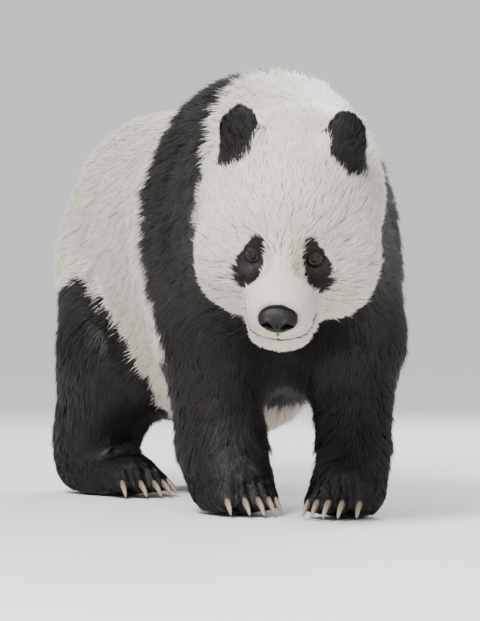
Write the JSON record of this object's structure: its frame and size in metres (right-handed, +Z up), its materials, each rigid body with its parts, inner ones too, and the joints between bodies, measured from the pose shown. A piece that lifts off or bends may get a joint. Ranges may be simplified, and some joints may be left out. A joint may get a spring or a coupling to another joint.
{
  "type": "giant panda",
  "caption": "Life-size giant panda walking on all fours with its head low and turned to its right, a still model with the coat's outline as its surface.",
  "frame": {"origin": "on the floor under the middle of the animal's bounding box", "axes": "+X to the animal's left, -Y forward towards the head, +Z up"},
  "size_m": [0.481, 1.4074, 0.7269],
  "materials": {
    "white_coat": "matte",
    "black_coat": "matte",
    "nose": "satin",
    "eye": "gloss",
    "claw": "satin"
  },
  "bodies": {
    "root": {"claw_forepaw_left_1": "claw", "claw_forepaw_left_2": "claw", "claw_forepaw_left_3": "claw", "claw_forepaw_left_4": "claw", "claw_forepaw_left_5": "claw", "claw_forepaw_right_1": "claw", "claw_forepaw_right_2": "claw", "claw_forepaw_right_3": "claw", "claw_forepaw_right_4": "claw", "claw_forepaw_right_5": "claw", "claw_hindpaw_left_1": "claw", "claw_hindpaw_left_2": "claw", "claw_hindpaw_left_3": "claw", "claw_hindpaw_left_4": "claw", "claw_hindpaw_left_5": "claw", "claw_hindpaw_right_1": "claw", "claw_hindpaw_right_2": "claw", "claw_hindpaw_right_3": "claw", "claw_hindpaw_right_4": "claw", "claw_hindpaw_right_5": "claw", "ear_left": "black_coat", "ear_right": "black_coat", "eye_left": "eye", "eye_right": "eye", "foreleg_left": "black_coat", "foreleg_right": "black_coat", "forepaw_left": "black_coat", "forepaw_right": "black_coat", "head": "white_coat", "hindleg_left": "black_coat", "hindleg_right": "black_coat", "hindpaw_left": "black_coat", "hindpaw_right": "black_coat", "neck": "white_coat", "nose": "nose", "tail": "white_coat", "trunk": "white_coat"}
  },
  "joints": []
}
